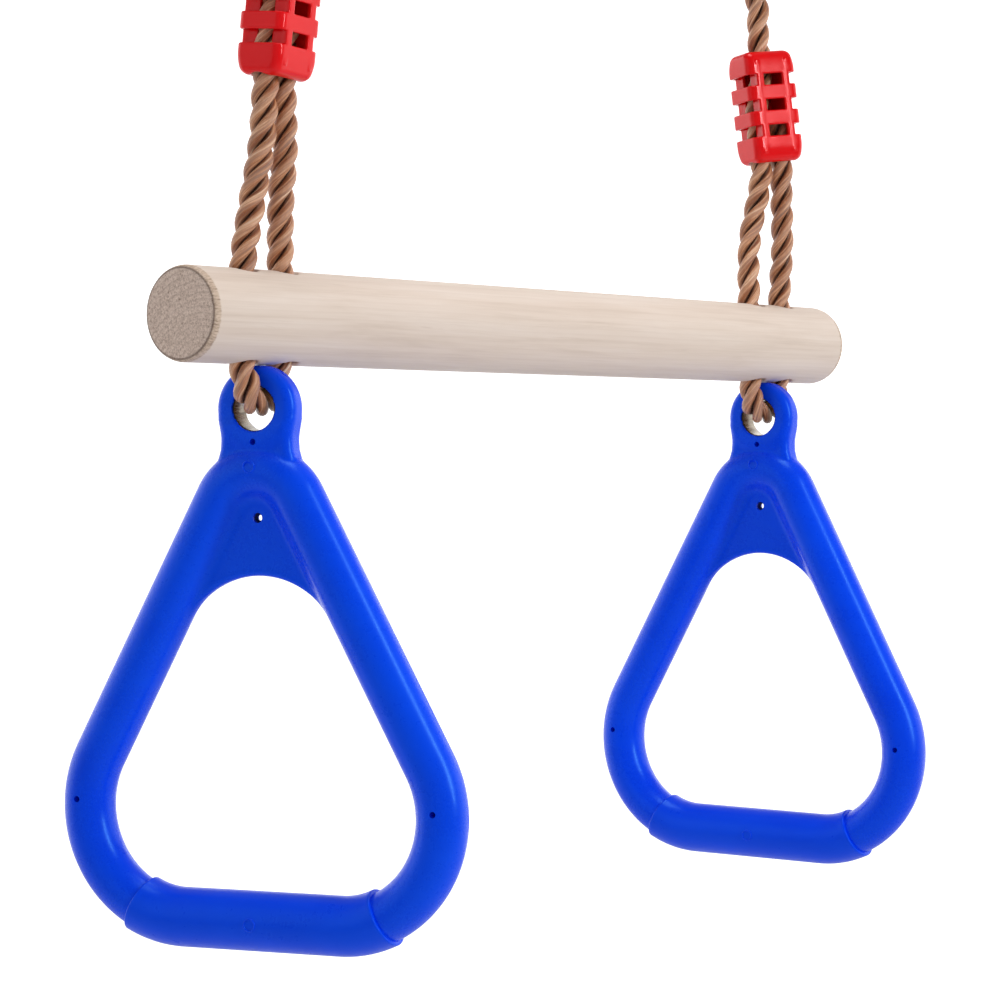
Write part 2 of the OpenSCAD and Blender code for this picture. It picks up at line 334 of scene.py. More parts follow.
def srgb(r, g, b):
    def f(c):
        c = c / 255
        return c / 12.92 if c <= 0.04045 else ((c + 0.055) / 1.055) ** 2.4
    return (f(r), f(g), f(b))


def plastic(name, dark, mid, light, rough, wave, shine, tint):
    n = Nodes(name)
    soft = n.noise(n.scaled(9, 9, 9), 1, 3, 0.5)
    fine = n.noise(n.scaled(420, 420, 420), 1, 4, 0.6)
    flow = n.noise(n.scaled(26, 26, 60), 1, 3, 0.55, 0.6)
    c = n.ramp(n.math("ADD", n.math("MULTIPLY", soft, 0.7), n.math("MULTIPLY", flow, 0.3)), [(0.3, dark), (0.5, mid), (0.72, light)])
    r = n.span(n.math("ADD", n.math("MULTIPLY", fine, 0.5), n.math("MULTIPLY", flow, 0.5)), 0.3, 0.7, rough * 0.8, rough * 1.3)
    b = n.bump(flow, wave, 0.0006)
    b = n.bump(fine, 0.05, 0.0002, b)
    n.value({"IOR": 1.49, "Specular IOR Level": shine, "Specular Tint": (*tint, 1)})
    return n.out(c, r, b)


def make_blue():
    return plastic("blue_plastic", srgb(0, 57, 238), srgb(0, 66, 248), srgb(1, 75, 254), 0.27, 0.06, 0.5, (0.18, 0.68, 1.0))


def make_grip():
    return plastic("blue_grip_plastic", srgb(0, 58, 236), srgb(0, 67, 247), srgb(1, 76, 254), 0.31, 0.08, 0.5, (0.18, 0.68, 1.0))


def make_red():
    m = plastic("red_plastic", srgb(222, 2, 8), srgb(236, 4, 12), srgb(246, 8, 18), 0.15, 0.08, 0.6, (1.0, 0.42, 0.44))
    b = m.node_tree.nodes["Principled BSDF"]
    b.inputs["Subsurface Weight"].default_value = 0.05
    b.inputs["Subsurface Radius"].default_value = (1.0, 0.12, 0.08)
    b.inputs["Subsurface Scale"].default_value = 0.002
    return m


def make_wood():
    n = Nodes("sanded_wood")
    sep = n.new("SeparateXYZ")
    n.link(n.tc.outputs["Object"], sep.inputs[0])
    # Growth rings about a pith outside the bar, wandering slowly along it
    wander = n.noise(n.scaled(5, 26, 26), 1, 2, 0.5)
    y = n.math("ADD", sep.outputs["Y"], 0.011)
    z = n.math("ADD", sep.outputs["Z"], DROP * MM + 0.026)
    rad = n.math("SQRT", n.math("ADD", n.math("MULTIPLY", y, y), n.math("MULTIPLY", z, z)))
    rad = n.math("ADD", rad, n.math("MULTIPLY", wander, 0.007))
    rings = n.math("FRACT", n.math("MULTIPLY", rad, 430))
    late = n.span(rings, 0.55, 1.0, 0, 1)
    fibre = n.noise(n.scaled(28, 950, 950), 1, 4, 0.65)
    streak = n.noise(n.scaled(9, 150, 150), 1, 4, 0.6, 0.4)
    cloud = n.noise(n.scaled(7, 18, 18), 1, 3, 0.5)
    side = n.ramp(streak, [(0.3, srgb(213, 195, 180)), (0.48, srgb(224, 207, 193)), (0.7, srgb(231, 216, 204))])
    side = n.mix(n.math("MULTIPLY", late, 0.1), side, srgb(186, 160, 136))
    side = n.mix(n.span(fibre, 0.52, 0.74, 0, 0.14), side, srgb(176, 152, 132))
    side = n.mix(n.span(cloud, 0.5, 0.75, 0, 0.3), side, srgb(216, 198, 180))
    # A few brownish flecks lying along the grain
    fleck = n.span(n.noise(n.scaled(26, 260, 260), 1, 2, 0.5, 0.3), 0.72, 0.79, 0, 0.4)
    side = n.mix(fleck, side, srgb(158, 130, 106))
    # End grain
    pores = n.noise(n.scaled(30, 1500, 1500), 1, 3, 0.7)
    rays = n.noise(n.scaled(300, 1300, 1100), 1, 2, 0.6, 0.2)
    end = n.ramp(n.math("ADD", n.math("MULTIPLY", rays, 0.3), n.math("MULTIPLY", pores, 0.7)),
                 [(0.3, srgb(146, 118, 100)), (0.48, srgb(219, 195, 180)), (0.7, srgb(250, 232, 218))])
    end = n.mix(n.math("MULTIPLY", late, 0.27), end, srgb(146, 114, 94))
    # Painted shade: a dark brown ring round the rim of each end face
    yy = n.math("MULTIPLY", sep.outputs["Y"], sep.outputs["Y"])
    zc = n.math("ADD", sep.outputs["Z"], DROP * MM)
    r0 = n.math("SQRT", n.math("ADD", yy, n.math("MULTIPLY", zc, zc)))
    end = n.mix(n.span(r0, 0.0157, 0.0164, 0, 0.7, True), end, srgb(84, 60, 46))
    away = n.math("ABSOLUTE", n.math("ADD", sep.outputs["X"], 0.0014))
    ends = n.span(away, 0.2109, 0.2113, 0, 1, True)
    # The worn edge is rougher and browner than the side
    edge = n.span(n.math("ADD", away, n.math("MULTIPLY", rays, 0.0014)), 0.2090, 0.2098, 0, 0.8, True)
    rim = n.ramp(pores, [(0.32, srgb(138, 110, 90)), (0.5, srgb(196, 170, 146)), (0.7, srgb(226, 204, 184))])
    side = n.mix(edge, side, rim)
    color = n.mix(ends, side, end)
    height = n.math("ADD", n.math("MULTIPLY", fibre, 0.6), n.math("MULTIPLY", streak, 0.5))
    b = n.bump(height, 0.22, 0.0004)
    b = n.bump(n.math("MULTIPLY", pores, ends), 0.5, 0.0006, b)
    r = n.span(streak, 0.3, 0.7, 0.5, 0.66)
    n.value({"Specular IOR Level": 0.35})
    return n.out(color, r, b)


def make_rope():
    """Satin three-strand polypropylene. The map runs round a strand in U and along it in V."""
    n = Nodes("twisted_rope")
    uv = n.new("UVMap", uv_map="fibre").outputs["UV"]
    # yarns, then the filaments in them, both lying slightly across the strand
    sep = n.new("SeparateXYZ")
    n.link(uv, sep.inputs[0])
    lean = n.math("ADD", sep.outputs["X"], n.math("MULTIPLY", sep.outputs["Y"], -0.04))
    both = n.new("CombineXYZ")
    n.link(lean, both.inputs[0])
    n.link(sep.outputs["Y"], both.inputs[1])
    v = both.outputs[0]
    yarn = n.noise(n.scaled(11, 0.5, 1, v), 1, 2, 0.5, 0.2)
    hair = n.noise(n.scaled(34, 0.9, 1, v), 1, 5, 0.7, 0.12)
    spot = n.noise(n.scaled(3.0, 1.4, 1, v), 1, 3, 0.55)
    mixed = n.math("ADD", n.math("MULTIPLY", yarn, 0.45), n.math("MULTIPLY", hair, 0.55))
    c = n.ramp(mixed, [(0.36, srgb(104, 50, 24)), (0.44, srgb(164, 96, 56)), (0.52, srgb(206, 138, 92)), (0.59, srgb(244, 190, 148)), (0.66, srgb(255, 230, 204))])
    c = n.mix(n.span(spot, 0.42, 0.7, 0, 0.35), c, srgb(150, 92, 60))
    # Painted highlight along the strand crests, and painted shade down in the grooves between the strands
    out = n.math("COSINE", n.math("MULTIPLY", sep.outputs["X"], 2 * math.pi))
    c = n.mix(n.span(out, -1.0, -0.55, 0.2, 0, True), c, srgb(246, 208, 178))
    c = n.mix(n.span(out, -0.35, 0.45, 0, 0.88, True), c, srgb(56, 28, 17))
    b = n.bump(yarn, 0.7, 0.0009)
    b = n.bump(hair, 0.75, 0.0006, b)
    r = n.span(hair, 0.3, 0.7, 0.36, 0.2)
    n.value({"Specular IOR Level": 0.85, "Sheen Weight": 0.08, "Sheen Roughness": 0.35})
    n.bsdf.inputs["Sheen Tint"].default_value = (*srgb(255, 214, 196), 1)
    return n.out(c, r, b)


def make_metal(name, dark, light, rough, grain, metallic=1.0, bump=0.1):
    n = Nodes(name)
    g = n.noise(n.scaled(*grain), 1, 3, 0.6)
    s = n.noise(n.scaled(40, 40, 40), 1, 3, 0.5)
    c = n.ramp(n.math("ADD", n.math("MULTIPLY", g, 0.5), n.math("MULTIPLY", s, 0.5)), [(0.3, dark), (0.68, light)])
    r = n.span(g, 0.3, 0.7, rough * 0.75, rough * 1.35)
    b = n.bump(g, bump, 0.0002)
    n.value({"Metallic": metallic})
    return n.out(c, r, b)


BLUE, GRIP, RED, WOOD, ROPE = make_blue(), make_grip(), make_red(), make_wood(), make_rope()
STEEL = make_metal("zinc_plate", srgb(150, 152, 156), srgb(214, 216, 220), 0.2, (300, 300, 300))
BUSH = make_metal("bush_steel", srgb(58, 48, 38), srgb(186, 174, 156), 0.24, (120, 120, 900))
# Painted shade for the inside of the web's pin hole
PIN_SHADE = make_metal("pin_hole_painted_shade", srgb(0, 16, 84), srgb(0, 24, 112), 0.6, (300, 300, 300), 0.0, 0.1)
DARK = make_metal("dark_eye_ring", srgb(16, 12, 9), srgb(44, 34, 26), 0.6, (300, 300, 300), 0.0, 0.2)
ALU = make_metal("pressed_aluminium", srgb(164, 166, 170), srgb(212, 214, 218), 0.36, (200, 200, 900))
BLACK = make_metal("black_plastic", srgb(14, 14, 15), srgb(34, 34, 36), 0.5, (500, 500, 500), 0.0, 0.2)


def dress(ob, mat, slot, body, *nodes):
    ob.data.materials.clear()
    ob.data.materials.append(mat)
    if body:
        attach(ob, body)
    if nodes:
        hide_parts(*nodes)
    return ob


# ---------------------------------------------------------------- ropes
TH_D = math.hypot(5.3, 30.0)
TH_N = math.degrees(math.atan2(30.0, -5.3)) - math.degrees(math.asin(16.4 / TH_D)) - 90
LEFT_A = [[3.5, -5.3, 163], [5.2, -6.9, 150], [5.0, -6.5, 130], [-1.3, -5.6, 109], [-2.4, -4.1, 87],
          [-3.6, -3.4, 64], [-6.6, -1.5, 42], [-9.9, -0.3, 21], [-10.6, 0, 6], [-10.6, 0, 0]]
LEFT_B = [[9.1, -4.7, 109], [8, -3.3, 87], [8.8, -3.4, 64], [9.0, -1.5, 42], [10.3, -0.3, 21], [10.6, 0, 6], [10.6, 0, 0]]
RIGHT_A = [[-3.5, 5.3, 163], [-2.6, 3.4, 150], [-2.5, 3.2, 137], [-1.6, 2.1, 124], [-4.7, 2.5, 103], [-3.1, 0.3, 81],
           [-4.9, 1.0, 66], [-7.5, 2.4, 53], [-10, 2.4, 40], [-11.4, 1.1, 21], [-11.3, 0.8, 6], [-11.3, 0.8, 0]]
RIGHT_B = [[4.5, -2.3, 103], [6.1, -4.3, 81], [7.1, -3.9, 66], [8.3, -3.6, 53], [9.9, -2.6, 40], [10.8, -0.8, 21],
           [11.1, -0.8, 6], [11.1, -0.8, 0]]
LEFT_UNDER = [[-10.6, 0, 0], [-10.6, 0, -6], [-10.7, -0.4, -12], [-10.9, -1.0, -18]]
RIGHT_UNDER = [[-11.3, 0.8, 0], [-11.3, 0.8, -6], [-11.3, 0.5, -12], [-11.2, 0.2, -18]]
LEFT_BACK = [[10.9, 1.0, -18], [10.7, 0.4, -12], [10.6, 0, -6], [10.6, 0, 0]]
RIGHT_BACK = [[11.2, -0.2, -18], [11.2, -0.5, -12], [11.1, -0.8, -6], [11.1, -0.8, 0]]


def eye_route(x, s):
    arc = []
    for i in range(8):
        a = math.radians(TH_N + i * (180 - 2 * TH_N) / 7)
        arc.append([x, s * 16.4 * math.cos(a), 212 + 16.4 * math.sin(a)])
    return [[x, s * 5.3, 161], [x, s * 5.3, 182]] + arc + [[x, -s * 5.3, 182]]


def bight_route(down, up, turn):
    t = math.radians(turn)
    mid = []
    for c, a0 in ((-4.4, 180), (4.4, 270)):
        for i in range(4):
            a = math.radians(a0 + 30 * i)
            m = c + 6.8 * math.cos(a)
            mid.append([m * math.cos(t), m * math.sin(t), -24.2 + 6.8 * math.sin(a)])
    return down + mid + up


def smooth_path(points, step):
    """A centripetal Catmull-Rom curve through the points, at an even step."""
    p = np.array(points, float)
    p = np.vstack([2 * p[0] - p[1], p, 2 * p[-1] - p[-2]])
    out = []
    for i in range(1, len(p) - 2):
        p0, p1, p2, p3 = p[i - 1:i + 3]
        t0 = 0.0
        t1 = t0 + np.linalg.norm(p1 - p0) ** 0.5
        t2 = t1 + np.linalg.norm(p2 - p1) ** 0.5
        t3 = t2 + np.linalg.norm(p3 - p2) ** 0.5
        t = np.linspace(t1, t2, 40, endpoint=False)[:, None]
        a1 = (t1 - t) / (t1 - t0) * p0 + (t - t0) / (t1 - t0) * p1
        a2 = (t2 - t) / (t2 - t1) * p1 + (t - t1) / (t2 - t1) * p2
        a3 = (t3 - t) / (t3 - t2) * p2 + (t - t2) / (t3 - t2) * p3
        b1 = (t2 - t) / (t2 - t0) * a1 + (t - t0) / (t2 - t0) * a2
        b2 = (t3 - t) / (t3 - t1) * a2 + (t - t1) / (t3 - t1) * a3
        out.append((t2 - t) / (t2 - t1) * b1 + (t - t1) / (t2 - t1) * b2)
    out.append(p[-2][None])
    c = np.vstack(out)
    s = np.concatenate([[0], np.cumsum(np.linalg.norm(np.diff(c, axis=0), axis=1))])
    n = max(2, int(round(s[-1] / step)) + 1)
    q = np.linspace(0, s[-1], n)
    return np.stack([np.interp(q, s, c[:, k]) for k in range(3)], 1), q


def frames(c):
    """Tangents and a pair of normals that don't spin along the curve."""
    t = np.gradient(c, axis=0)
    t /= np.linalg.norm(t, axis=1)[:, None]
    a = np.empty_like(c)
    ref = np.array([1.0, 0, 0]) if abs(t[0][0]) < 0.8 else np.array([0, 1.0, 0])
    a[0] = ref - (ref @ t[0]) * t[0]
    a[0] /= np.linalg.norm(a[0])
    for i in range(1, len(c)):
        v = a[i - 1] - (a[i - 1] @ t[i]) * t[i]
        a[i] = v / np.linalg.norm(v)
    return t, a, np.cross(t, a)


def twisted(name, points, lead, phase=0.0, seed=1, sides=22, step=1.1, swell=()):
    """Three strands laid round each other along the points."""
    c, s = smooth_path(points, step)
    t, a, b = frames(c)
    rng = np.random.default_rng(seed)
    verts, faces, uvs = [], [], []
    th = np.linspace(-np.pi, np.pi, sides, endpoint=False)
    base = 0
    n = len(c)
    end = np.minimum(s, s[-1] - s)
    for k in range(3):
        wob = np.interp(s, np.arange(0, s[-1] + 12, 6.0), rng.normal(0, 1, len(np.arange(0, s[-1] + 12, 6.0))))
        fat = np.interp(s, np.arange(0, s[-1] + 12, 4.5), rng.normal(0, 1, len(np.arange(0, s[-1] + 12, 4.5))))
        ph = phase + 2 * np.pi * (k / 3 + s / lead) + 0.05 * wob
        grow = 1 + 0.022 * fat
        puff = np.ones(n)
        for at, wide, much in swell:
            puff += much * np.exp(-((s - at) / wide) ** 2)
        rad = 2.88 * puff
        out = a * np.cos(ph)[:, None] + b * np.sin(ph)[:, None]
        side = np.cross(t, out)
        # The strand's own direction, so that its section stands square to it
        pitch = lead / (2 * np.pi)
        along = t * pitch + side * rad[:, None]
        along /= np.linalg.norm(along, axis=1)[:, None]
        wide = np.cross(along, out)
        centre = c + out * rad[:, None]
        # Rounded end: the section closes over the last 2 mm
        close = np.sqrt(np.clip(1 - (1 - np.clip(end / 1.6, 0, 1)) ** 2, 0.02, 1))
        ridge = 1 + 0.018 * np.cos(9 * th[None] + 2 * np.pi * s[:, None] / (lead * 0.8) + 2 * k)
        r_out = 2.3 * grow * close
        r_wide = 2.22 * grow * close
        v = (centre[:, None]
             + (r_out[:, None] * ridge * np.cos(th)[None])[..., None] * out[:, None]
             + (r_wide[:, None] * ridge * np.sin(th)[None])[..., None] * wide[:, None])
        verts.append(v.reshape(-1, 3))
        i, j = np.meshgrid(np.arange(n - 1), np.arange(sides), indexing="ij")
        i, j = i.ravel(), j.ravel()
        jn = (j + 1) % sides
        f = np.stack([base + i * sides + j, base + i * sides + jn, base + (i + 1) * sides + jn, base + (i + 1) * sides + j], 1)
        faces.append(f)
        ln = s / 10.0 + 7 * k
        u0, u1 = j / sides, (j + 1) / sides
        uvs.append(np.stack([np.stack([u0, ln[i]], 1), np.stack([u1, ln[i]], 1), np.stack([u1, ln[i + 1]], 1), np.stack([u0, ln[i + 1]], 1)], 1).reshape(-1, 2))
        # Ends
        for row, flip in ((0, True), (n - 1, False)):
            mid = base + n * sides + (0 if row == 0 else 1)
            jj = np.arange(sides)
            e0, e1 = base + row * sides + jj, base + row * sides + (jj + 1) % sides
            m = np.full(sides, mid)
            f = np.stack([m, e1, e0, e0], 1) if flip else np.stack([m, e0, e1, e1], 1)
            faces.append(f)
            uvs.append(np.tile([[0.5, float(ln[row])]], (sides * 4, 1)))
        verts.append(np.stack([centre[0], centre[-1]]))
        base += n * sides + 2
    v = np.vstack(verts)
    f = np.vstack(faces)
    uv = np.vstack(uvs)
    quad = f[:, 2] != f[:, 3]
    me = bpy.data.meshes.new(name)
    lens = np.where(quad, 4, 3)
    keep = np.ones(f.shape, bool)
    keep[~quad, 3] = False
    me.vertices.add(len(v))
    me.vertices.foreach_set("co", (v * MM).astype(np.float32).ravel())
    me.loops.add(int(lens.sum()))
    me.loops.foreach_set("vertex_index", f[keep].astype(np.int32))
    me.polygons.add(len(f))
    me.polygons.foreach_set("loop_start", np.concatenate([[0], np.cumsum(lens)[:-1]]).astype(np.int32))
    me.polygons.foreach_set("loop_total", lens.astype(np.int32))
    me.polygons.foreach_set("use_smooth", np.full(len(f), True))
    layer = me.uv_layers.new(name="fibre")
    layer.data.foreach_set("uv", uv.reshape(-1, 4, 2)[keep].astype(np.float32).ravel())
    me.update(calc_edges=True)
    ob = bpy.data.objects.new(name, me)
    scene.collection.objects.link(ob)
    return ob, c, float(s[-1])


def make_ropes():
    for side, s in SIDES:
        here = np.array([s * PAIR, 0, -DROP])
        hook = s * (HANGER - PAIR)
        lead = 27.5 if s < 0 else 32.0
        a = LEFT_A if s < 0 else RIGHT_A
        b = LEFT_B if s < 0 else RIGHT_B
        under = LEFT_UNDER if s < 0 else RIGHT_UNDER
        back = LEFT_BACK if s < 0 else RIGHT_BACK
        top = (np.array(eye_route(hook, -s) + a) + here).tolist()
        ob, c, n = twisted("rope_" + side + "_standing", top, lead, 0.4 + s, 3 + s)
        dress(ob, ROPE, "twisted_rope", None, "rope_standing_" + side)
        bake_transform(ob)
        ob, c, n = twisted("rope_" + side + "_tail", (np.array(b) + here).tolist(), lead, 1.5 + s, 7 + s)
        dress(ob, ROPE, "twisted_rope", None, "rope_tail_" + side)
        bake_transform(ob)
        ob, c, n = twisted("rope_" + side + "_loop", (np.array(bight_route(under, back, TURN[side])) + here).tolist(), 26.0, 0.2 + s, 11 + s, step=0.8)
        dress(ob, ROPE, "twisted_rope", None, "rope_bight_" + side)
        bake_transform(ob)


make_ropes()


# ---------------------------------------------------------------- gym rings
TUBE = 9.65
ARCH_R, ARCH_Y = 17.9, -41.0
COR_R, COR_X, COR_Y = 40.5, 32.1, -148.3
DV = np.array([COR_X, COR_Y - ARCH_Y])
SIDE_N = math.degrees(math.atan2(DV[1], DV[0])) + math.degrees(math.acos((ARCH_R - COR_R) / np.linalg.norm(DV)))
CN, SN = math.cos(math.radians(SIDE_N)), math.sin(math.radians(SIDE_N))
SIDE_P = (ARCH_R * CN, ARCH_Y + ARCH_R * SN)
SIDE_Q = (COR_X + COR_R * CN, COR_Y + COR_R * SN)
BOTTOM = COR_Y - COR_R


def ring_line(x, y):
    x = np.abs(x)

    def arc(cx, cy, r, a0, a1):
        dx, dy = x - cx, y - cy
        ang = np.degrees(np.arctan2(dy, dx))
        return np.where((ang >= a0) & (ang <= a1), np.abs(length2(dx, dy) - r), 1e3)

    def seg(p, q):
        ex, ey = q[0] - p[0], q[1] - p[1]
        t = np.clip(((x - p[0]) * ex + (y - p[1]) * ey) / (ex * ex + ey * ey), 0, 1)
        return length2(x - p[0] - t * ex, y - p[1] - t * ey)

    d = np.minimum(arc(0, ARCH_Y, ARCH_R, SIDE_N, 90.5), arc(COR_X, COR_Y, COR_R, -90.5, SIDE_N))
    return np.minimum(d, np.minimum(seg(SIDE_P, SIDE_Q), seg((0, BOTTOM), (COR_X, BOTTOM))))


NECK = [(-14.3, -4), (-14.5, -10.2), (-14.8, -15.0), (-15.9, -18.8), (-12, -32), (12, -32), (15.9, -18.8), (14.8, -15.0), (14.5, -10.2), (14.3, -4)]


def web_x(y):
    return SIDE_P[0] + (SIDE_P[1] - y) * (SIDE_Q[0] - SIDE_P[0]) / (SIDE_P[1] - SIDE_Q[1])


WEB = [(0, -30), (-SIDE_P[0], SIDE_P[1]), (-web_x(-81), -81), (web_x(-81), -81), (SIDE_P[0], SIDE_P[1])]


def ring_field(p):
    x, y, z = p[:, 0], p[:, 1], p[:, 2]
    tube = length2(ring_line(x, y), z) - TUBE
    head = slab(length2(x, y + 0.1) - 16.05, z, 5.5, 3.9)
    neck = slab(poly2(x, y, NECK), z, 5.5, 3.4)
    top = smin(head, neck, 3.0)
    body = smin(tube, top, 0.8)
    web = slab(smax(poly2(x, y, WEB), 34.9 - length2(x, y + 96.4), 1.0), z, 2.5, 1.9)
    k = np.clip((y + 84.0) / 24.0, 0, 1)
    body = smin(body, web, 0.7 + 2.7 * k * k * (3 - 2 * k))
    # The eye: a pocket for the lining with a thin lip over each end of it
    eye = length2(x, y)
    body = smax(body, 8.4 - eye, 0.9)
    return smax(body, -np.maximum(eye - 8.98, np.abs(z) - 4.72), 0.1)


def drill(ob, cutters):
    """Cuts small round holes: (x, y, z0, z1, radius) in the ring's own plane."""
    verts, faces = [], []
    k = 20
    for x, y, z0, z1, r in cutters:
        b = len(verts)
        for z in (z0, z1):
            for i in range(k):
                a = 2 * math.pi * i / k
                verts.append(((x + r * math.cos(a)) * MM, (y + r * math.sin(a)) * MM, z * MM))
        faces += [tuple(b + i for i in reversed(range(k))), tuple(b + k + i for i in range(k))]
        faces += [(b + i, b + (i + 1) % k, b + k + (i + 1) % k, b + k + i) for i in range(k)]
    me = bpy.data.meshes.new("cutter")
    me.from_pydata(verts, [], faces)
    cut = bpy.data.objects.new("cutter", me)
    scene.collection.objects.link(cut)
    m = ob.modifiers.new("holes", "BOOLEAN")
    m.operation, m.solver, m.object = "DIFFERENCE", "EXACT", cut
    bpy.context.view_layer.update()
    deps = bpy.context.evaluated_depsgraph_get()
    done = bpy.data.meshes.new_from_object(ob.evaluated_get(deps))
    ob.modifiers.clear()
    ob.data = done
    bpy.data.objects.remove(cut)
    return ob


def keep_sharp(me, co, holes):
    """Marks as sharp only the rims of the small holes and of the eye's pocket."""
    me.set_sharp_from_angle(angle=math.radians(48))
    mark = me.attributes.get("sharp_edge")
    if mark is None:
        return
    e = np.empty(len(me.edges) * 2, np.int32)
    me.edges.foreach_get("vertices", e)
    mid = co[e.reshape(-1, 2)].mean(1)
    near = np.hypot(mid[:, 0], mid[:, 1]) < 9.1
    for x, y, z0, z1, r in holes:
        near |= np.hypot(mid[:, 0] - x, mid[:, 1] - y) < r + 0.05
    flags = np.empty(len(me.edges), bool)
    mark.data.foreach_get("value", flags)
    mark.data.foreach_set("value", flags & near)


def lathe_verts(profile, k=96, closed=True):
    """Rings about local Z from (radius, z) points."""
    n = len(profile)
    v = [(r * math.cos(2 * math.pi * i / k), r * math.sin(2 * math.pi * i / k), z) for r, z in profile for i in range(k)]
    f = []
    for j in range(n if closed else n - 1):
        a, b = j, (j + 1) % n
        for i in range(k):
            f.append((a * k + i, a * k + (i + 1) % k, b * k + (i + 1) % k, b * k + i))
    return np.array(v), np.array(f)


def sweep_sleeve():
    """The sleeve's outer skin and its two end steps, along the bottom of the ring."""
    turn = math.radians(27)
    pts, nrm = [], []
    arc = np.linspace(turn, 0, 22)
    for a in arc:
        pts.append((-COR_X - COR_R * math.sin(a), COR_Y - COR_R * math.cos(a)))
        nrm.append((-math.sin(a), -math.cos(a)))
    for t in np.linspace(0, 1, 40)[1:-1]:
        pts.append((-COR_X + 2 * COR_X * t, BOTTOM))
        nrm.append((0.0, -1.0))
    for a in arc[::-1]:
        pts.append((COR_X + COR_R * math.sin(a), COR_Y - COR_R * math.cos(a)))
        nrm.append((math.sin(a), -math.cos(a)))
    pts, nrm = np.array(pts), np.array(nrm)
    tan = np.stack([-nrm[:, 1], nrm[:, 0]], 1)
    s = np.concatenate([[0], np.cumsum(np.linalg.norm(np.diff(pts, axis=0), axis=1))])
    # Rounded step at each end: extra rings at almost the same place with a growing radius
    rows = []
    for back, r in ((0.0, 9.66), (0.0, 10.35), (0.06, 10.72), (0.22, 10.98), (0.5, 11.1), (0.9, 11.13)):
        rows.append((back, r))
    P, N, R, sh = [], [], [], []
    for back, r in rows:
        P.append(pts[0]); N.append(nrm[0]); R.append(r); sh.append(tan[0] * back)
    for i in range(1, len(pts) - 1):
        if 1.2 < s[i] < s[-1] - 1.2:
            edge = min(s[i], s[-1] - s[i])
            P.append(pts[i]); N.append(nrm[i]); R.append(11.1 + 0.03 * math.exp(-edge / 3)); sh.append(np.zeros(2))
    for back, r in reversed(rows):
        P.append(pts[-1]); N.append(nrm[-1]); R.append(r); sh.append(-tan[-1] * back)
    P, N, R, sh = np.array(P), np.array(N), np.array(R), np.array(sh)
    k = 72
    th = np.linspace(0, 2 * np.pi, k, endpoint=False)
    v = []
    for i in range(len(P)):
        q = P[i] + sh[i]
        off = R[i] * np.cos(th)
        v.append(np.stack([q[0] + N[i][0] * off, q[1] + N[i][1] * off, R[i] * np.sin(th)], 1))
    n = len(v)
    v = np.vstack(v)
    i, j = np.meshgrid(np.arange(n - 1), np.arange(k), indexing="ij")
    i, j = i.ravel(), j.ravel()
    f = np.stack([i * k + j, i * k + (j + 1) % k, (i + 1) * k + (j + 1) % k, (i + 1) * k + j], 1)
    return v, f


def torus_patch(cx, cy, cz, r, t):
    v, f = lathe_verts([(r + t * math.cos(a), t * math.sin(a)) for a in np.linspace(0, 2 * np.pi, 12, endpoint=False)], 40)
    return v + np.array([cx, cy, cz]), f


